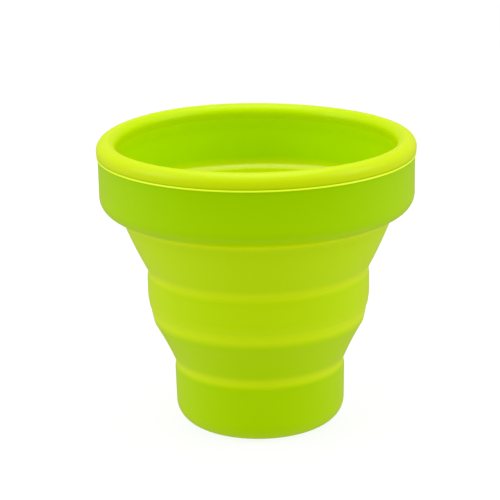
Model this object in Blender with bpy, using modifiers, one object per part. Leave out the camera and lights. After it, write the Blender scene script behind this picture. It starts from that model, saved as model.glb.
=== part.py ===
"""Collapsible silicone canning funnel, standing on the foot of its spout.

Three stiff rings, the collar, the middle ring and the spout, are joined by two thin conical
webs. Pushing the collar down turns each web inside out about the fold lines at its ends, and
the rings nest in one another. The real funnel is one moulding: every stretch of its wall that
is stiff, bends or turns inside out on its own is a solid of its own here, a joint gap apart.

+Z is the funnel's axis, pointing up to the rim. The origin is on the axis at the foot.
Outlines are lists of (radius, height) in millimetres, and run down the outer side first.
"""
import math

import bpy

MM = 0.001
COLLECTION = "canning_funnel"

# Spout: goes into a regular mason jar, whose mouth is about 60 mm wide inside.
SPOUT_R = 28.7
SPOUT_TOP = 21.0
FOOT_BORE_R = 20.5
FOOT_CORNER_R = 6.2
FOOT_CORNER_H = 6.2
FOOT_EDGE = 0.6

# Middle ring: goes into a wide mason jar, whose mouth is about 76 mm wide inside.
MIDDLE_BOTTOM_R = 36.7
MIDDLE_TOP_R = 37.4
MIDDLE_BOTTOM = 38.2
MIDDLE_STRAIGHT = 46.0
MIDDLE_TOP = 53.4

# Collar: the thick outer skirt that a hand holds, with a shelf where the upper web joins it.
COLLAR_R = 52.0
COLLAR_BOTTOM = 72.4
COLLAR_TOP = 92.5
COLLAR_BORE_R = 46.6
COLLAR_CORNER = 5.9
WEB_TOP_R = 45.6
SHELF_BORE_R = 44.4
SHELF_TOP = 76.4
SHELF_EDGE = 0.5
SHELF_FILLET = 1.0

# Rim bead: the rolled top edge, a little proud of the collar and of its parting lip.
RIM_R = 52.5
RIM_BORE_R = 46.1
RIM_WIDEST = 93.2
RIM_TOP = 97.5
RIM_TUCK = 0.3
LIP_R = 52.4
LIP_THICK = 0.45
LIP_UNDERCUT = 0.35

# Walls.
RING_WALL = 2.5
WEB_WALL = 1.2
FOLD = 0.9          # how much of a web's end belongs to its fold
GAP = 0.3           # between one stretch of wall and the next

STEPS = 48          # sides of every turned ring
ARC_STEPS = 6       # straight pieces in a quarter round

# Colours, linear: the thick collar looks greener, and thin or rounded silicone yellower.
COLOURS = {
    "rim": (0.62, 0.81, 0.012),
    "collar": (0.30, 0.55, 0.005),
    "fold": (0.48, 0.69, 0.006),
    "web": (0.40, 0.62, 0.004),
    "ring": (0.42, 0.64, 0.003),
    "spout": (0.36, 0.60, 0.003),
}


def quarter(centre, half_width, half_height, start, end):
    """Points on an ellipse's quarter, at angles in degrees from +X."""
    points = []
    for step in range(ARC_STEPS + 1):
        angle = math.radians(start + (end - start) * step / ARC_STEPS)
        radius = centre[0] + half_width * math.cos(angle)
        height = centre[1] + half_height * math.sin(angle)
        points.append((radius, height))
    return points


class Web:
    """A conical web between two fold lines, given by its outer face."""

    def __init__(self, low, high):
        self.low = low
        self.length = math.dist(low, high)
        self.along = ((high[0] - low[0]) / self.length, (high[1] - low[1]) / self.length)

    def outer(self, distance):
        """The point on the outer face this far up the slope."""
        return (self.low[0] + self.along[0] * distance, self.low[1] + self.along[1] * distance)

    def inner(self, distance):
        """The point on the inner face straight across from it."""
        radius, height = self.outer(distance)
        return (radius - self.along[1] * WEB_WALL, height + self.along[0] * WEB_WALL)

    def outline(self):
        """The stretch that turns inside out, clear of the folds at both ends."""
        start = FOLD + GAP
        end = self.length - FOLD - GAP
        return [self.outer(end), self.outer(start), self.inner(start), self.inner(end)]


LOWER_WEB = Web((SPOUT_R, SPOUT_TOP), (MIDDLE_BOTTOM_R, MIDDLE_BOTTOM))
UPPER_WEB = Web((MIDDLE_TOP_R, MIDDLE_TOP), (WEB_TOP_R, COLLAR_BOTTOM))


def middle_radius(height):
    """Outer radius of the middle ring: upright at the top, drawn in towards its foot."""
    drop = max(0.0, (MIDDLE_STRAIGHT - height) / (MIDDLE_STRAIGHT - MIDDLE_BOTTOM))
    return MIDDLE_TOP_R - (MIDDLE_TOP_R - MIDDLE_BOTTOM_R) * drop * drop


def spout_lip():
    """The foot turns in on a large radius, which leads the spout into the jar."""
    centre = (SPOUT_R - FOOT_CORNER_R, FOOT_CORNER_H)
    outside = quarter(centre, FOOT_CORNER_R, FOOT_CORNER_H, 0, -90)
    inside = quarter(centre, FOOT_CORNER_R - RING_WALL, FOOT_CORNER_H - RING_WALL, -90, 0)
    bore = [
        (FOOT_BORE_R + FOOT_EDGE, 0.0),
        (FOOT_BORE_R, FOOT_EDGE),
        (FOOT_BORE_R, RING_WALL - FOOT_EDGE),
        (FOOT_BORE_R + FOOT_EDGE, RING_WALL),
    ]
    return outside + bore + inside


def spout_sleeve():
    bottom = FOOT_CORNER_H + GAP
    top = SPOUT_TOP - FOLD
    inner = SPOUT_R - RING_WALL
    return [(SPOUT_R, top), (SPOUT_R, bottom), (inner, bottom), (inner, top)]


def spout_fold():
    bottom = SPOUT_TOP - FOLD + GAP
    inner = SPOUT_R - RING_WALL
    return [
        LOWER_WEB.outer(FOLD),
        (SPOUT_R, SPOUT_TOP),
        (SPOUT_R, bottom),
        (inner, bottom),
        (inner, SPOUT_TOP),
        LOWER_WEB.inner(FOLD),
    ]


def middle_bottom_fold():
    top = MIDDLE_BOTTOM + FOLD
    end = LOWER_WEB.length - FOLD
    return [
        (middle_radius(top), top),
        (MIDDLE_BOTTOM_R, MIDDLE_BOTTOM),
        LOWER_WEB.outer(end),
        LOWER_WEB.inner(end),
        (MIDDLE_BOTTOM_R - RING_WALL, MIDDLE_BOTTOM),
        (middle_radius(top) - RING_WALL, top),
    ]


def middle_ring():
    bottom = MIDDLE_BOTTOM + FOLD + GAP
    top = MIDDLE_TOP - FOLD
    heights = [top]
    drawn_in = 4
    for step in range(drawn_in + 1):
        heights.append(MIDDLE_STRAIGHT + (bottom - MIDDLE_STRAIGHT) * step / drawn_in)
    outside = [(middle_radius(height), height) for height in heights]
    inside = [(radius - RING_WALL, height) for radius, height in reversed(outside)]
    return outside + inside


def middle_top_fold():
    bottom = MIDDLE_TOP - FOLD + GAP
    inner = MIDDLE_TOP_R - RING_WALL
    return [
        UPPER_WEB.outer(FOLD),
        (MIDDLE_TOP_R, MIDDLE_TOP),
        (MIDDLE_TOP_R, bottom),
        (inner, bottom),
        (inner, MIDDLE_TOP),
        UPPER_WEB.inner(FOLD),
    ]


def shelf_fold():
    top = COLLAR_BOTTOM + WEB_WALL / 2
    end = UPPER_WEB.length - FOLD
    return [
        (WEB_TOP_R, top),
        (WEB_TOP_R, COLLAR_BOTTOM),
        UPPER_WEB.outer(end),
        UPPER_WEB.inner(end),
        (SHELF_BORE_R, top),
    ]


def collar_shelf():
    """The collar's floor: a round outer corner, and a step inside that the web hangs from."""
    top = COLLAR_BOTTOM + COLLAR_CORNER
    rebate = COLLAR_BOTTOM + WEB_WALL / 2 + GAP
    corner = quarter((COLLAR_R - COLLAR_CORNER, top), COLLAR_CORNER, COLLAR_CORNER, 0, -90)
    fillet_centre = (COLLAR_BORE_R - SHELF_FILLET, SHELF_TOP + SHELF_FILLET)
    fillet = quarter(fillet_centre, SHELF_FILLET, SHELF_FILLET, -90, 0)
    step = [
        (WEB_TOP_R + GAP, COLLAR_BOTTOM),
        (WEB_TOP_R + GAP, rebate),
        (SHELF_BORE_R, rebate),
        (SHELF_BORE_R, SHELF_TOP - SHELF_EDGE),
        (SHELF_BORE_R + SHELF_EDGE, SHELF_TOP),
    ]
    return corner + step + fillet + [(COLLAR_BORE_R, top)]


def collar_band():
    """The upright skirt, with the thin parting lip around its top edge."""
    bottom = COLLAR_BOTTOM + COLLAR_CORNER + GAP
    lip_bottom = COLLAR_TOP - LIP_THICK
    return [
        (LIP_R, COLLAR_TOP),
        (LIP_R, lip_bottom),
        (COLLAR_R, lip_bottom - LIP_UNDERCUT),
        (COLLAR_R, bottom),
        (COLLAR_BORE_R, bottom),
        (COLLAR_BORE_R, COLLAR_TOP),
    ]


def rim_bead():
    bottom = COLLAR_TOP + GAP
    centre = ((RIM_R + RIM_BORE_R) / 2, RIM_WIDEST)
    half_width = (RIM_R - RIM_BORE_R) / 2
    half_height = RIM_TOP - RIM_WIDEST
    outside = quarter(centre, half_width, half_height, 90, 0)
    inside = quarter(centre, half_width, half_height, 180, 90)
    tuck = [(RIM_R - RIM_TUCK, bottom), (RIM_BORE_R + RIM_TUCK, bottom)]
    return outside + tuck + inside[:-1]


def silicone(name, colour):
    material = bpy.data.materials.new(name + "_silicone")
    material.use_nodes = True
    shader = material.node_tree.nodes["Principled BSDF"]
    shader.inputs["Base Color"].default_value = (*colour, 1.0)
    shader.inputs["Roughness"].default_value = 0.45
    shader.inputs["Metallic"].default_value = 0.0
    return material


def turned(name, outline, tint, carrier, collection):
    """One closed ring, turned about the axis of the carrier that it moves with."""
    mesh = bpy.data.meshes.new(name)
    vertices = []
    for radius, height in outline:
        vertices.append((radius * MM, 0.0, height * MM - carrier.location.z))
    edges = [(index, (index + 1) % len(vertices)) for index in range(len(vertices))]
    mesh.from_pydata(vertices, edges, [])
    mesh.materials.append(silicone(name, COLOURS[tint]))
    ring = bpy.data.objects.new(name, mesh)
    collection.objects.link(ring)
    ring.parent = carrier
    screw = ring.modifiers.new("turn", "SCREW")
    screw.axis = "Z"
    screw.angle = math.tau
    screw.steps = STEPS
    screw.render_steps = STEPS
    screw.use_merge_vertices = True
    screw.merge_threshold = 0.00001
    screw.use_smooth_shade = True
    return ring


def carrier(name, height, parent, collection):
    """An empty on the funnel's axis, which a body's rings are parented to."""
    empty = bpy.data.objects.new(name, None)
    empty.empty_display_size = 10 * MM
    empty.location.z = height * MM
    collection.objects.link(empty)
    if parent is not None:
        empty.parent = parent
        empty.matrix_parent_inverse = parent.matrix_world.inverted()
    return empty


def main():
    for existing in list(bpy.data.objects):
        bpy.data.objects.remove(existing)
    collection = bpy.data.collections.new(COLLECTION)
    bpy.context.scene.collection.children.link(collection)

    spout = carrier("spout_carrier", 0.0, None, collection)
    middle = carrier("middle_carrier", MIDDLE_BOTTOM, None, collection)
    collar = carrier("collar_carrier", COLLAR_BOTTOM, None, collection)

    turned("spout_lip", spout_lip(), "spout", spout, collection)
    turned("spout_sleeve", spout_sleeve(), "spout", spout, collection)
    turned("spout_fold", spout_fold(), "fold", spout, collection)
    turned("lower_web", LOWER_WEB.outline(), "web", middle, collection)
    turned("middle_bottom_fold", middle_bottom_fold(), "fold", middle, collection)
    turned("middle_ring", middle_ring(), "ring", middle, collection)
    turned("middle_top_fold", middle_top_fold(), "fold", middle, collection)
    turned("upper_web", UPPER_WEB.outline(), "web", collar, collection)
    turned("shelf_fold", shelf_fold(), "fold", collar, collection)
    turned("collar_shelf", collar_shelf(), "collar", collar, collection)
    turned("collar_band", collar_band(), "collar", collar, collection)
    turned("rim_bead", rim_bead(), "rim", collar, collection)


main()
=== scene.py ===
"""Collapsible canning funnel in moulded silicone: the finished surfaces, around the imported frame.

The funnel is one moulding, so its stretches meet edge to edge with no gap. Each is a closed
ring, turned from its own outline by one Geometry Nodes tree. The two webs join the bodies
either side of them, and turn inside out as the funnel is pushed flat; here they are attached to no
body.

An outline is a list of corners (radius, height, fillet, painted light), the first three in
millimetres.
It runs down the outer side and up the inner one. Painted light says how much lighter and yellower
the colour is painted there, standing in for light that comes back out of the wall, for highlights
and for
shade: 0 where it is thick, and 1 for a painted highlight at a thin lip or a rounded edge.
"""
import math

import bpy
from mathutils import Matrix, Vector


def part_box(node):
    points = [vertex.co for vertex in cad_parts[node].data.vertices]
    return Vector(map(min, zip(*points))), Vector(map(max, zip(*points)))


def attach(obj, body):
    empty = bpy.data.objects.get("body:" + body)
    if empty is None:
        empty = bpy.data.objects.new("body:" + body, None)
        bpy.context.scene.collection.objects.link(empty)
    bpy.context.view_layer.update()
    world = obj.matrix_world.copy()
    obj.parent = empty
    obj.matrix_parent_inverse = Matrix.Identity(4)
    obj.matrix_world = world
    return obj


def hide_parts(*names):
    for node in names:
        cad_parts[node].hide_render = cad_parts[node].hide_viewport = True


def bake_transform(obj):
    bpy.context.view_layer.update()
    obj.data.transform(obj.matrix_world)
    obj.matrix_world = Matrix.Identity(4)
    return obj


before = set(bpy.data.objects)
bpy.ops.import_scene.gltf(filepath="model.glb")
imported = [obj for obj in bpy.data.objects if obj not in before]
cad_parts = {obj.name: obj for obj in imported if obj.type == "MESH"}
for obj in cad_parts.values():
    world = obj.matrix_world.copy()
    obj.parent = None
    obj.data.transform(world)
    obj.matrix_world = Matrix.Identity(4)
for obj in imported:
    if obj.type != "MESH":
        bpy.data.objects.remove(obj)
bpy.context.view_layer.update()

MM = 0.001


# ---------------------------------------------------------------- sizes, read from the frame

def reach(node):
    """A ring's outer radius in mm."""
    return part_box(node)[1][0] / MM


def bottom(node):
    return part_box(node)[0][2] / MM


def top(node):
    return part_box(node)[1][2] / MM


HINGE = 0.9            # how far each fold reaches along the wall beside it
JOINT_GAP = 0.3        # what the frame leaves between one stretch of wall and the next
WEB = 1.2              # wall of the two webs
WALL = 2.5             # wall of the middle ring and the spout

SPOUT_R = reach("spout_sleeve")
SPOUT_FOOT_R = SPOUT_R - 0.35               # the sleeve tapers a little towards its foot
SPOUT_TOP = top("spout_sleeve") + HINGE
MOUTH_R = SPOUT_R - 8.0                     # the open mouth of the foot
MIDDLE_R = reach("middle_ring") - 0.3       # seen, the ring is slimmer than its solid
MIDDLE_WAIST_R = MIDDLE_R - 0.45            # where it turns in, above the foot
MIDDLE_FOOT_R = MIDDLE_R - 1.2
MIDDLE_TOP = top("middle_ring") + HINGE
MIDDLE_BOTTOM = bottom("middle_ring") - HINGE - JOINT_GAP
COLLAR_R = reach("collar_shelf")
COLLAR_BOTTOM = bottom("collar_shelf")
COLLAR_TOP = top("collar_band")
BORE_R = COLLAR_R - 5.4
SHELF_R = COLLAR_R - 7.0                    # the narrowest part of the inside, above the web
SHELF_TOP = COLLAR_BOTTOM + 3.0
WEB_TOP_R = reach("shelf_fold") - 0.5
RIM_R = reach("rim_bead")
RIM_BORE_R = RIM_R - 6.4
BORE_TOP_R = RIM_BORE_R + 0.05              # the bore closes in a little to meet the rim
RIM_TOP = top("rim_bead")
RIM_WIDEST = RIM_TOP - 3.2
SEAM = COLLAR_TOP + 0.15                    # where the rim's bead sits on the collar
LIP_R = COLLAR_R + 0.45                     # the thin parting lip between them
LIP_ROOT_R = COLLAR_R - 0.1                 # where the rim and the lip part

SHOULDER = 0.4         # how far a ring's shoulder stands out from the web above it
UPPER_BULGE = 0.35     # how far the upper web bows outwards half way up
LOWER_BULGE = -0.4     # and the lower one, inwards
KINK = 0.75            # how far the lower web juts out where it leaves the ring's foot
KINK_AT = 0.855        # and how far up it that is, as a share
HIGH_AZIMUTH = math.radians(122)            # the side where the soft rim stands up
HIGH_SIDE = (math.cos(HIGH_AZIMUTH), math.sin(HIGH_AZIMUTH), 0.0)

SIDES = 240            # facets round the funnel
FACET = 1.1            # longest facet along an outline, mm
ARC_DEGREES = 6.0      # turn between facets in a fillet
CROWN_STEPS = 28       # facets over the rim's crown
BELLY_STEPS = 8        # and under its outer side
WEB_STEPS = 24         # facets up a web
SHARP_DEGREES = 38     # edges that turn by more than this are shaded sharp


# ---------------------------------------------------------------- outlines

def bow(low, share):
    """How far a web's outer face stands out from a straight line, a share of the way up."""
    curve = 4 * share * (1 - share)
    if low == UPPER_FOOT:
        return UPPER_BULGE * curve
    return LOWER_BULGE * curve + KINK * min(share / KINK_AT, (1 - share) / (1 - KINK_AT))


def across(low, high, distance, depth):
    """A point up the web from low towards high, set in from its bowed outer face by depth."""
    slope = math.dist(low, high)
    along = ((high[0] - low[0]) / slope, (high[1] - low[1]) / slope)
    share = distance / slope
    depth -= bow(low, share)
    return (
        low[0] + along[0] * distance - along[1] * depth,
        low[1] + along[1] * distance + along[0] * depth,
    )


def fillet(before, corner, after):
    """The points of the arc that rounds a corner off, and the corner alone where it is sharp."""
    here = Vector(corner[:2])
    back = Vector(before[:2]) - here
    on = Vector(after[:2]) - here
    turn = math.pi - back.angle(on)
    if corner[2] <= 0 or turn < math.radians(0.5):
        return [corner[:2]]
    room = 0.9 * min(back.length, on.length)
    cut = min(corner[2] * math.tan(turn / 2), room)
    radius = cut / math.tan(turn / 2)
    middle = (back.normalized() + on.normalized()).normalized()
    centre = here + middle * math.hypot(radius, cut)
    start = here + back.normalized() * cut - centre
    end = here + on.normalized() * cut - centre
    steps = max(1, round(math.degrees(turn) / ARC_DEGREES))
    points = []
    for step in range(steps + 1):
        share = step / steps
        first = start * math.sin((1 - share) * turn)
        second = end * math.sin(share * turn)
        points.append(tuple(centre + (first + second) / math.sin(turn)))
    return points


def outline(corners):
    """A closed outline of (radius, height, painted light), its corners rounded and long sides
    divided.
    """
    rounded = []
    for index, corner in enumerate(corners):
        after = corners[(index + 1) % len(corners)]
        for point in fillet(corners[index - 1], corner, after):
            rounded.append((*point, corner[3]))
    points = []
    for index, point in enumerate(rounded):
        following = rounded[(index + 1) % len(rounded)]
        pieces = max(1, math.ceil(math.dist(point[:2], following[:2]) / FACET))
        for piece in range(pieces):
            share = piece / pieces
            points.append(tuple(a + (b - a) * share for a, b in zip(point, following)))
    return points


LOWER_FOOT = (SPOUT_R - SHOULDER, SPOUT_TOP)
LOWER_HEAD = (MIDDLE_FOOT_R, MIDDLE_BOTTOM)
UPPER_FOOT = (MIDDLE_R - SHOULDER, MIDDLE_TOP)
UPPER_HEAD = (WEB_TOP_R, COLLAR_BOTTOM)
LOWER_LENGTH = math.dist(LOWER_FOOT, LOWER_HEAD)
UPPER_LENGTH = math.dist(UPPER_FOOT, UPPER_HEAD)

# How much light is painted into each stretch's colour, as painted glow and painted highlights, with
# painted shade under the bead: the thick collar least.
RIM_PAINTED_LIGHT = 0.45        # on the rim's crown
RIM_SIDE_PAINTED_LIGHT = 0.64   # round its outer side
UNDER_BEAD_PAINTED_SHARE = 0.15     # how much of the side's painted light is left at its lower edge: painted shade under the bead
# Painted highlight on the thin parting lip.
LIP_PAINTED_HIGHLIGHT = 1.0
COLLAR_PAINTED_LIGHT = 0.03
COLLAR_FOOT_PAINTED_LIGHT = 0.09
UPPER_PAINTED_LIGHT = 0.36
MIDDLE_PAINTED_LIGHT = 0.40
LOWER_PAINTED_LIGHT = 0.23
SPOUT_PAINTED_LIGHT = 0.20
# Painted highlight along each fold.
FOLD_PAINTED_HIGHLIGHT = 0.60
# Painted highlights where each web leaves the stretch above it.
UPPER_HEAD_PAINTED_HIGHLIGHT = 0.48  # where the upper web leaves the collar
LOWER_HEAD_PAINTED_HIGHLIGHT = 0.48  # and where the lower one leaves the ring's foot
FOLD_SPREAD = 2.4      # how far a fold's painted highlight reaches up a web's outside, or its painted light down its inside, mm
HEAD_SPREAD = 1.5      # and how far down its outside, mm
INSIDE_PAINTED_LIGHT = 0.0      # on the side that faces the axis
RIM_INSIDE_PAINTED_LIGHT = 0.14
# Painted highlight on the shelf's rounded edge inside the collar, and painted light just below it.
SHELF_PAINTED_HIGHLIGHT = 0.9
SLIVER_PAINTED_LIGHT = 0.8      # just below the shelf


def rim_corners():
    """The rolled top edge: an elliptical crown, and an outer side that curves in to the lip."""
    centre = (RIM_R + RIM_BORE_R) / 2
    half_width = (RIM_R - RIM_BORE_R) / 2
    half_height = RIM_TOP - RIM_WIDEST
    crown = []
    for step in range(CROWN_STEPS - 1, 0, -1):
        angle = math.pi * step / CROWN_STEPS
        radius = centre + half_width * math.cos(angle)
        height = RIM_WIDEST + half_height * math.sin(angle)
        # Painted light on the crown: more round its outer side, less on its inner side.
        side_painted_light = RIM_SIDE_PAINTED_LIGHT if angle < math.pi / 2 else RIM_INSIDE_PAINTED_LIGHT
        painted_light = RIM_PAINTED_LIGHT + (side_painted_light - RIM_PAINTED_LIGHT) * math.cos(angle) ** 2
        crown.append((radius, height, 0, painted_light))
    belly = []
    for step in range(BELLY_STEPS + 1):
        angle = math.pi / 2 * step / BELLY_STEPS
        radius = LIP_ROOT_R + (RIM_R - LIP_ROOT_R) * math.cos(angle)
        height = RIM_WIDEST + (SEAM - RIM_WIDEST) * math.sin(angle)
        # Painted shade: the painted light falls away towards the lower edge, under the bead.
        share = UNDER_BEAD_PAINTED_SHARE + (1 - UNDER_BEAD_PAINTED_SHARE) * math.cos(angle)
        belly.append((radius, height, 0, RIM_SIDE_PAINTED_LIGHT * share))
    return crown + belly + [
        (BORE_TOP_R, SEAM, 0, RIM_INSIDE_PAINTED_LIGHT),
        (RIM_BORE_R, RIM_WIDEST, 0, RIM_INSIDE_PAINTED_LIGHT),
    ]


def collar_corners():
    """The skirt with its parting lip, its round lower corner, and the shelf inside it."""
    head = across(UPPER_FOOT, UPPER_HEAD, UPPER_LENGTH - HINGE, 0)
    head_inside = across(UPPER_FOOT, UPPER_HEAD, UPPER_LENGTH - HINGE, WEB)
    return [
        # The parting lip carries the full painted highlight; the fold under the collar and the
        # shelf's edge carry painted highlights too.
        (LIP_ROOT_R, SEAM, 0, LIP_PAINTED_HIGHLIGHT),
        (LIP_R - 0.15, SEAM + 0.12, 0.1, LIP_PAINTED_HIGHLIGHT),
        (LIP_R, SEAM - 0.4, 0.2, LIP_PAINTED_HIGHLIGHT),
        (COLLAR_R, SEAM - 0.7, 0, COLLAR_PAINTED_LIGHT),
        (COLLAR_R, COLLAR_BOTTOM + 3.4, 5.4, COLLAR_FOOT_PAINTED_LIGHT),
        (WEB_TOP_R + 0.2, COLLAR_BOTTOM + 0.1, 0.3, FOLD_PAINTED_HIGHLIGHT),
        (*head, 0, UPPER_HEAD_PAINTED_HIGHLIGHT),
        (*head_inside, 0, SLIVER_PAINTED_LIGHT),
        (SHELF_R, SHELF_TOP - 0.2, 0.6, SLIVER_PAINTED_LIGHT),
        (BORE_R, SHELF_TOP + 1.2, 1.3, SHELF_PAINTED_HIGHLIGHT),
        (BORE_R, SHELF_TOP + 4.0, 0, INSIDE_PAINTED_LIGHT),
        (BORE_R, SEAM - 4.0, 0, INSIDE_PAINTED_LIGHT),
        (BORE_TOP_R, SEAM, 0, RIM_INSIDE_PAINTED_LIGHT),
    ]


def web_corners(foot, head, painted_light, head_painted_light, inside_head_painted_light):
    """The thin cone between two folds, with painted highlights that grow towards them."""
    length = math.dist(foot, head)
    end = length - HINGE
    distances = [HINGE + (end - HINGE) * step / WEB_STEPS for step in range(WEB_STEPS + 1)]
    outside = []
    for distance in reversed(distances):
        # Painted highlights grow towards the folds on the outside, and painted light towards the
        # head on the inside.
        near_foot = max(0.0, 1 - (distance - HINGE) / FOLD_SPREAD)
        near_head = max(0.0, 1 - (end - distance) / HEAD_SPREAD)
        lit = max(painted_light + (FOLD_PAINTED_HIGHLIGHT - painted_light) * near_foot, painted_light + (head_painted_light - painted_light) * near_head)
        outside.append((*across(foot, head, distance, 0), 0, lit))
    inside = []
    for distance in distances:
        near_head = max(0.0, 1 - (end - distance) / FOLD_SPREAD)
        inside.append((*across(foot, head, distance, WEB), 0, inside_head_painted_light * near_head))
    return outside + inside


def middle_corners():
    """Upright above, then turned in to a slanting facet, whose foot the lower web leaves."""
    foot = across(UPPER_FOOT, UPPER_HEAD, HINGE, 0)
    foot_inside = across(UPPER_FOOT, UPPER_HEAD, HINGE, WEB)
    head = across(LOWER_FOOT, LOWER_HEAD, LOWER_LENGTH - HINGE, 0)
    head_inside = across(LOWER_FOOT, LOWER_HEAD, LOWER_LENGTH - HINGE, WEB)
    return [
        (*foot, 0, FOLD_PAINTED_HIGHLIGHT),
        (*UPPER_FOOT, 1.0, FOLD_PAINTED_HIGHLIGHT),
        (MIDDLE_R, MIDDLE_TOP - 2.4, 6.0, MIDDLE_PAINTED_LIGHT),
        (MIDDLE_R, MIDDLE_BOTTOM + 6.4, 5.0, MIDDLE_PAINTED_LIGHT),
        (MIDDLE_WAIST_R, MIDDLE_BOTTOM + 3.2, 0.8, FOLD_PAINTED_HIGHLIGHT * 0.75),
        (MIDDLE_WAIST_R - 0.4, MIDDLE_BOTTOM + 2.2, 0.8, FOLD_PAINTED_HIGHLIGHT * 0.9),
        (MIDDLE_FOOT_R, MIDDLE_BOTTOM, 1.0, FOLD_PAINTED_HIGHLIGHT),
        (*head, 0, LOWER_HEAD_PAINTED_HIGHLIGHT),
        (*head_inside, 0, INSIDE_PAINTED_LIGHT),
        (MIDDLE_FOOT_R - WALL + 0.2, MIDDLE_BOTTOM + 0.4, 0.8, INSIDE_PAINTED_LIGHT),
        (MIDDLE_FOOT_R - WALL + 0.1, MIDDLE_BOTTOM + 3.6, 4.0, INSIDE_PAINTED_LIGHT),
        (MIDDLE_R - WALL, MIDDLE_BOTTOM + 8.6, 6.0, INSIDE_PAINTED_LIGHT),
        (MIDDLE_R - WALL, MIDDLE_TOP + 0.2, 0.9, INSIDE_PAINTED_LIGHT),
        (*foot_inside, 0, INSIDE_PAINTED_LIGHT),
    ]


def spout_corners():
    """The sleeve, its foot turned in to an open mouth, and the hinge on its shoulder."""
    inner = SPOUT_R - WALL
    foot = across(LOWER_FOOT, LOWER_HEAD, HINGE, 0)
    foot_inside = across(LOWER_FOOT, LOWER_HEAD, HINGE, WEB)
    return [
        (*foot, 0, FOLD_PAINTED_HIGHLIGHT),
        (*LOWER_FOOT, 1.0, FOLD_PAINTED_HIGHLIGHT),
        (SPOUT_R, SPOUT_TOP - 2.4, 5.0, SPOUT_PAINTED_LIGHT),
        (SPOUT_FOOT_R, 0.0, 7.2, SPOUT_PAINTED_LIGHT),
        (MOUTH_R, 0.0, 0.6, SPOUT_PAINTED_LIGHT),
        (MOUTH_R, WALL, 0.8, INSIDE_PAINTED_LIGHT),
        (inner, WALL, 3.6, INSIDE_PAINTED_LIGHT),
        (inner, SPOUT_TOP + 0.2, 0.9, INSIDE_PAINTED_LIGHT),
        (*foot_inside, 0, INSIDE_PAINTED_LIGHT),
    ]


# ---------------------------------------------------------------- the turning tree

def add_node(tree, kind, links=None, **settings):
    """A node with its settings; links maps an input's name or number to an output or a value."""
    node = tree.nodes.new(kind)
    for name, value in settings.items():
        setattr(node, name, value)
    for socket, source in (links or {}).items():
        if isinstance(source, bpy.types.NodeSocket):
            tree.links.new(source, node.inputs[socket])
        else:
            node.inputs[socket].default_value = source
    return node


TREE_INPUTS = {
    "Outline": "NodeSocketGeometry",
    "Sides": "NodeSocketInt",
    "Ripple": "NodeSocketFloat",
    "Ripple Scale": "NodeSocketFloat",
    "Lift": "NodeSocketFloat",
    "Lift From": "NodeSocketFloat",
    "Lift To": "NodeSocketFloat",
    "Lift Towards": "NodeSocketVector",
    "Seed": "NodeSocketInt",
    "Finish": "NodeSocketMaterial",
}


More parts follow.
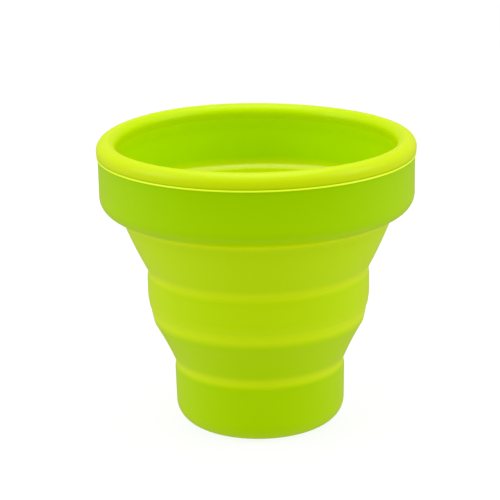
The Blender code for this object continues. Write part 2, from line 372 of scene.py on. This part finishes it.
def turning_tree():
    """Turns an outline about +Z, then bends it a little out of true, as soft silicone is.

    Sides sets the facets. Ripple wavers the wall in and out. Lift raises the side that faces
    Lift Towards, from nothing at the height Lift From to its whole at Lift To.
    """
    tree = bpy.data.node_groups.new("turned_wall", "GeometryNodeTree")
    for name, kind in TREE_INPUTS.items():
        tree.interface.new_socket(name, in_out="INPUT", socket_type=kind)
    tree.interface.new_socket("Wall", in_out="OUTPUT", socket_type="NodeSocketGeometry")
    given = tree.nodes.new("NodeGroupInput").outputs

    def calc(operation, first, second=0.0):
        node = add_node(tree, "ShaderNodeMath", {0: first, 1: second}, operation=operation)
        return node.outputs[0]

    # A grid with one row for each side, and one column for each point of the outline.
    size = add_node(tree, "GeometryNodeAttributeDomainSize", {"Geometry": given["Outline"]})
    count = size.outputs["Point Count"]
    row_length = calc("ADD", count, 1.0)
    grid = add_node(tree, "GeometryNodeMeshGrid", {
        "Vertices X": calc("ADD", given["Sides"], 1.0),
        "Vertices Y": row_length,
    })
    index = tree.nodes.new("GeometryNodeInputIndex").outputs[0]
    row = calc("FLOOR", calc("DIVIDE", calc("ADD", index, 0.5), row_length))
    column = calc("SUBTRACT", index, calc("MULTIPLY", row, row_length))
    point = calc("MODULO", column, count)

    def of_outline(source, kind):
        node = add_node(tree, "GeometryNodeSampleIndex", {
            "Geometry": given["Outline"], "Value": source, "Index": point,
        }, data_type=kind)
        return node.outputs[0]

    place = of_outline(tree.nodes.new("GeometryNodeInputPosition").outputs[0], "FLOAT_VECTOR")
    # The painted light of each outline point, carried onto the wall for the finish to paint with.
    painted_light = add_node(tree, "GeometryNodeInputNamedAttribute", {"Name": "painted_light"}, data_type="FLOAT")
    # It turns clockwise, which makes every face look out of the wall.
    turn = calc("MULTIPLY", calc("DIVIDE", row, given["Sides"]), -math.tau)
    wheel = add_node(
        tree, "ShaderNodeVectorRotate", {"Vector": place, "Angle": turn}, rotation_type="Z_AXIS"
    ).outputs[0]

    # The waver moves a point away from the axis or towards it, the same on both faces of a wall.
    waver = add_node(tree, "ShaderNodeTexNoise", {
        "Vector": wheel, "W": given["Seed"], "Scale": given["Ripple Scale"], "Detail": 1.0,
    }, noise_dimensions="4D").outputs[0]
    amount = calc("MULTIPLY", calc("SUBTRACT", waver, 0.5), given["Ripple"])
    level = add_node(
        tree, "ShaderNodeVectorMath", {0: wheel, 1: (1.0, 1.0, 0.0)}, operation="MULTIPLY"
    ).outputs[0]
    outward = add_node(tree, "ShaderNodeVectorMath", {0: level}, operation="NORMALIZE").outputs[0]
    shift = add_node(
        tree, "ShaderNodeVectorMath", {0: outward, "Scale": amount}, operation="SCALE"
    ).outputs[0]

    # The lift is greatest where the wall faces Lift Towards, and nothing on the other half.
    facing = add_node(tree, "ShaderNodeVectorMath", {
        0: outward, 1: given["Lift Towards"],
    }, operation="DOT_PRODUCT").outputs["Value"]
    lobe = calc("POWER", calc("MAXIMUM", facing, 0.0), 3.0)
    height = add_node(tree, "ShaderNodeSeparateXYZ", {0: wheel}).outputs["Z"]
    risen = add_node(tree, "ShaderNodeMapRange", {
        "Value": height, "From Min": given["Lift From"], "From Max": given["Lift To"],
    }, interpolation_type="SMOOTHSTEP").outputs[0]
    raised = calc("MULTIPLY", calc("MULTIPLY", lobe, risen), given["Lift"])
    lift = add_node(tree, "ShaderNodeCombineXYZ", {"Z": raised}).outputs[0]
    bent = add_node(
        tree, "ShaderNodeVectorMath", {0: shift, 1: lift}, operation="ADD"
    ).outputs[0]
    moved = add_node(
        tree, "ShaderNodeVectorMath", {0: wheel, 1: bent}, operation="ADD"
    ).outputs[0]

    kept = add_node(tree, "GeometryNodeStoreNamedAttribute", {
        "Geometry": grid.outputs["Mesh"],
        "Name": "painted_light",
        "Value": of_outline(painted_light.outputs[0], "FLOAT"),
    }, data_type="FLOAT", domain="POINT")
    placed = add_node(tree, "GeometryNodeSetPosition", {
        "Geometry": kept.outputs[0], "Position": moved,
    })
    closed = add_node(tree, "GeometryNodeMergeByDistance", {
        "Geometry": placed.outputs[0], "Distance": 0.001 * MM,
    })
    real = add_node(tree, "GeometryNodeRealizeInstances", {"Geometry": closed.outputs[0]})
    finished = add_node(tree, "GeometryNodeSetMaterial", {
        "Geometry": real.outputs[0], "Material": given["Finish"],
    })
    result = tree.nodes.new("NodeGroupOutput")
    tree.links.new(finished.outputs[0], result.inputs["Wall"])
    return tree


TURNING = turning_tree()


def turned(name, corners, finish):
    """A closed ring made by the turning tree, as a plain mesh."""
    points = outline(corners)
    drawn = bpy.data.meshes.new(name + "_outline")
    vertices = [(radius * MM, 0.0, height * MM) for radius, height, painted_light in points]
    edges = [(index, (index + 1) % len(points)) for index in range(len(points))]
    drawn.from_pydata(vertices, edges, [])
    glows = [painted_light for radius, height, painted_light in points]
    drawn.attributes.new("painted_light", "FLOAT", "POINT").data.foreach_set("value", glows)
    ring = bpy.data.objects.new(name, drawn)
    bpy.context.scene.collection.objects.link(ring)
    turning = ring.modifiers.new("turning", "NODES")
    turning.node_group = TURNING
    values = {
        "Sides": SIDES,
        "Ripple": 0.2 * MM,
        "Ripple Scale": 28.0,
        "Lift": 0.8 * MM,
        "Lift From": (SHELF_TOP + 2.0) * MM,
        "Lift To": SEAM * MM,
        "Lift Towards": HIGH_SIDE,
        "Seed": 7,
        "Finish": finish,
    }
    for socket in TURNING.interface.items_tree:
        if socket.in_out == "INPUT" and socket.name in values:
            turning[socket.identifier] = values[socket.name]
    graph = bpy.context.evaluated_depsgraph_get()
    solid = bpy.data.meshes.new_from_object(ring.evaluated_get(graph))
    ring.modifiers.remove(turning)
    ring.data = solid
    bpy.data.meshes.remove(drawn)
    solid.name = name
    solid.shade_smooth()
    solid.set_sharp_from_angle(angle=math.radians(SHARP_DEGREES))
    return ring


# ---------------------------------------------------------------- finishes

def colour(code):
    """A linear colour from an sRGB hex code."""
    channels = []
    for start in (1, 3, 5):
        value = int(code[start:start + 2], 16) / 255
        channels.append(value / 12.92 if value <= 0.04045 else ((value + 0.055) / 1.055) ** 2.4)
    return (*channels, 1.0)


EDGE_PAINTED_SHEEN = 0.35       # painted sheen: the painted light a wall gains when it is seen edge on


def silicone(name, deep, light, inner, roughness, shine):
    """Food-grade silicone, moulded against a finely blasted tool.

    To the eye it is satin and even, deeper and greener where the wall is thick: that deep colour is
    its own. The light colour is painted light: painted glow where light would come through a thin
    wall, and painted highlights round an edge. On the side that faces the axis it takes the inner
    colour, painted light that stands in for the light there that has already been through the wall
    across.
    """
    material = bpy.data.materials.new(name)
    material.use_nodes = True
    tree = material.node_tree
    tree.nodes.clear()
    coordinates = add_node(tree, "ShaderNodeTexCoord").outputs
    place = coordinates["Object"]
    # How squarely the wall faces away from the axis, from -1 to 1.
    level = add_node(
        tree, "ShaderNodeVectorMath", {0: place, 1: (1.0, 1.0, 0.0)}, operation="MULTIPLY"
    ).outputs[0]
    outward = add_node(tree, "ShaderNodeVectorMath", {0: level}, operation="NORMALIZE").outputs[0]
    away = add_node(tree, "ShaderNodeVectorMath", {
        0: outward, 1: coordinates["Normal"],
    }, operation="DOT_PRODUCT").outputs["Value"]
    inwards = add_node(tree, "ShaderNodeMapRange", {
        "Value": away, "From Min": -0.3, "From Max": -0.95,
    }, interpolation_type="SMOOTHSTEP").outputs[0]
    # The side that faces the axis is painted the inner colour, as painted light.
    own_tone_and_painted_inside = add_node(tree, "ShaderNodeMix", {
        "Factor": inwards, "A": colour(deep), "B": colour(inner),
    }, data_type="RGBA").outputs["Result"]
    painted_light = add_node(tree, "ShaderNodeAttribute", attribute_name="painted_light").outputs["Fac"]
    # Painted sheen: the colour is painted lighter where a wall is seen nearly edge on.
    edge_on = add_node(tree, "ShaderNodeLayerWeight", {"Blend": 0.5}).outputs["Facing"]
    squared = add_node(tree, "ShaderNodeMath", {0: edge_on, 1: 2.0}, operation="POWER").outputs[0]
    lit = add_node(
        tree, "ShaderNodeMath", {0: squared, 1: EDGE_PAINTED_SHEEN, 2: painted_light}, operation="MULTIPLY_ADD"
    ).outputs[0]
    tint = add_node(tree, "ShaderNodeMix", {
        "Factor": lit, "A": own_tone_and_painted_inside, "B": colour(light),
    }, data_type="RGBA").outputs["Result"]
    # The blasted tool's grain is about 0.1 mm, drawn at 0.5 mm so that it can show.
    grain = add_node(tree, "ShaderNodeTexNoise", {
        "Vector": place, "Scale": 1 / (0.5 * MM), "Detail": 2.0,
    }).outputs[0]
    bump = add_node(tree, "ShaderNodeBump", {
        "Height": grain, "Strength": 0.12, "Distance": 0.02 * MM,
    }).outputs[0]
    # The mould's parting edges are polished, so the thinnest edges are the shiniest.
    # The polish follows the painted light, where it marks the lip and the shelf's edge.
    polish = add_node(tree, "ShaderNodeMapRange", {
        "Value": painted_light, "From Min": 0.8, "From Max": 0.9, "To Min": shine, "To Max": 1.0,
    }).outputs[0]
    # Painted glow: the thin parting lip emits a little light, standing in for light that falls
    # through it.
    lip_painted_glow = add_node(tree, "ShaderNodeMapRange", {
        "Value": painted_light, "From Min": 0.92, "From Max": 1.0, "To Max": 0.3,
    }).outputs[0]
    shader = add_node(tree, "ShaderNodeBsdfPrincipled", {
        "Base Color": tint,
        "Normal": bump,
        "Roughness": roughness,
        "IOR": 1.41,
        "Specular IOR Level": polish,
        "Emission Color": colour(deep),
        "Emission Strength": lip_painted_glow,
    })
    result = add_node(tree, "ShaderNodeOutputMaterial")
    tree.links.new(shader.outputs[0], result.inputs[0])
    return material


# In both, deep is the silicone's own colour; light and inner are painted light. The rim's copy is
# painted a shade darker than the wall's, painted shade that tempers the overhead light on the
# crown.
RIM = silicone(
    "moulded_silicone_rim", deep="#86B608", light="#C9D71C", inner="#A6CE04",
    roughness=0.38, shine=0.28,
)
BODY = silicone(
    "moulded_silicone_wall", deep="#8BBC0C", light="#CEDF1D", inner="#AED806",
    roughness=0.40, shine=0.30,
)


# ---------------------------------------------------------------- the funnel

def build():
    rim = turned("rolled_rim", rim_corners(), RIM)
    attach(rim, "collar")
    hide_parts("rim_bead")

    collar = turned("collar", collar_corners(), BODY)
    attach(collar, "collar")
    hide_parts("collar_band", "collar_shelf", "shelf_fold")

    upper_web = web_corners(UPPER_FOOT, UPPER_HEAD, UPPER_PAINTED_LIGHT, UPPER_HEAD_PAINTED_HIGHLIGHT, SLIVER_PAINTED_LIGHT)
    upper = turned("upper_folding_web", upper_web, BODY)
    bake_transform(upper)
    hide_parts("upper_web")

    middle = turned("stiff_middle_ring", middle_corners(), BODY)
    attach(middle, "middle")
    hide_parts("middle_ring", "middle_top_fold", "middle_bottom_fold")

    lower_web = web_corners(LOWER_FOOT, LOWER_HEAD, LOWER_PAINTED_LIGHT, LOWER_HEAD_PAINTED_HIGHLIGHT, INSIDE_PAINTED_LIGHT)
    lower = turned("lower_folding_web", lower_web, BODY)
    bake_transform(lower)
    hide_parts("lower_web")

    spout = turned("open_spout", spout_corners(), BODY)
    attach(spout, "spout")
    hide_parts("spout_sleeve", "spout_lip", "spout_fold")


# ---------------------------------------------------------------- floor, light and camera

def pale_floor():
    """A light table of matt white acrylic, lit from below, so that little shadow shows."""
    bpy.ops.mesh.primitive_plane_add(size=6.0, location=(0, 0, -0.0002))
    floor = bpy.context.object
    floor.name = "studio_floor"
    acrylic = bpy.data.materials.new("lit_white_acrylic")
    acrylic.use_nodes = True
    shader = acrylic.node_tree.nodes["Principled BSDF"]
    shader.inputs["Base Color"].default_value = colour("#606060")
    shader.inputs["Roughness"].default_value = 0.9
    shader.inputs["Specular IOR Level"].default_value = 0.1
    shader.inputs["Emission Color"].default_value = (1.0, 1.0, 1.0, 1.0)
    shader.inputs["Emission Strength"].default_value = 0.88
    floor.data.materials.append(acrylic)
    floor.visible_glossy = False    # dark flags hide it from the funnel's lower edges


def white_room(fill, flagged):
    """A white surround that lights the funnel with fill times what the eye sees of it.

    Dark flags beside the funnel leave flagged times that in its reflections.
    """
    world = bpy.data.worlds.new("studio")
    bpy.context.scene.world = world
    world.use_nodes = True
    tree = world.node_tree
    tree.nodes.clear()
    path = add_node(tree, "ShaderNodeLightPath")
    lighting = add_node(tree, "ShaderNodeMapRange", {
        "Value": path.outputs["Is Glossy Ray"], "To Min": fill, "To Max": flagged,
    }).outputs[0]
    strength = add_node(tree, "ShaderNodeMapRange", {
        "Value": path.outputs["Is Camera Ray"], "To Min": lighting, "To Max": 1.0,
    }).outputs[0]
    surround = add_node(tree, "ShaderNodeBackground", {
        "Color": (1.0, 1.0, 1.0, 1.0), "Strength": strength,
    })
    result = add_node(tree, "ShaderNodeOutputWorld")
    tree.links.new(surround.outputs[0], result.inputs[0])


MID_FUNNEL = Vector((0, 0, 0.05))


def softbox(name, place, size, radiance, warmth="#FFFFFF"):
    """A rectangular light aimed at the funnel, as bright as a surface of that radiance."""
    light = bpy.data.lights.new(name, "AREA")
    light.color = colour(warmth)[:3]
    light.shape = "RECTANGLE"
    light.size, light.size_y = size
    light.energy = radiance * math.pi * size[0] * size[1]
    lamp = bpy.data.objects.new(name, light)
    bpy.context.scene.collection.objects.link(lamp)
    lamp.location = place
    towards = MID_FUNNEL - Vector(place)
    lamp.rotation_euler = towards.to_track_quat("-Z", "Y").to_euler()


def picture_style():
    """Plain sRGB, but a lime this strong lies outside it, and its blue is cut off below zero."""
    settings = bpy.context.scene.view_settings
    settings.view_transform = "Standard"
    settings.use_curve_mapping = True
    settings.curve_mapping.black_level = (0.0, 0.0, 0.02)
    settings.curve_mapping.update()


EYE = Vector((0.0, -0.562, 0.2271))
PITCH = math.radians(16.70)     # how far the camera looks down
PAN = math.radians(-0.27)
ROLL = math.radians(-1.04)      # the view is a little askew
LENS = 126.5                    # focal length, mm


def shoot():
    camera = bpy.data.cameras.new("camera")
    camera.lens = LENS
    camera.sensor_width = 36.0
    eye = bpy.data.objects.new("camera", camera)
    bpy.context.scene.collection.objects.link(eye)
    turn = Matrix.Rotation(-PAN, 4, "Z") @ Matrix.Rotation(math.pi / 2 - PITCH, 4, "X")
    eye.matrix_world = Matrix.Translation(EYE) @ turn @ Matrix.Rotation(ROLL, 4, "Z")
    bpy.context.scene.camera = eye


build()
pale_floor()
white_room(fill=0.93, flagged=0.3)
softbox("overhead", (0, 0.05, 0.9), (0.65, 0.65), 3.7, "#FFF5EA")
softbox("left", (-0.85, -0.2, 0.55), (0.5, 0.5), 3.4)
softbox("right", (0.85, -0.2, 0.55), (0.5, 0.5), 3.4)
shoot()
picture_style()
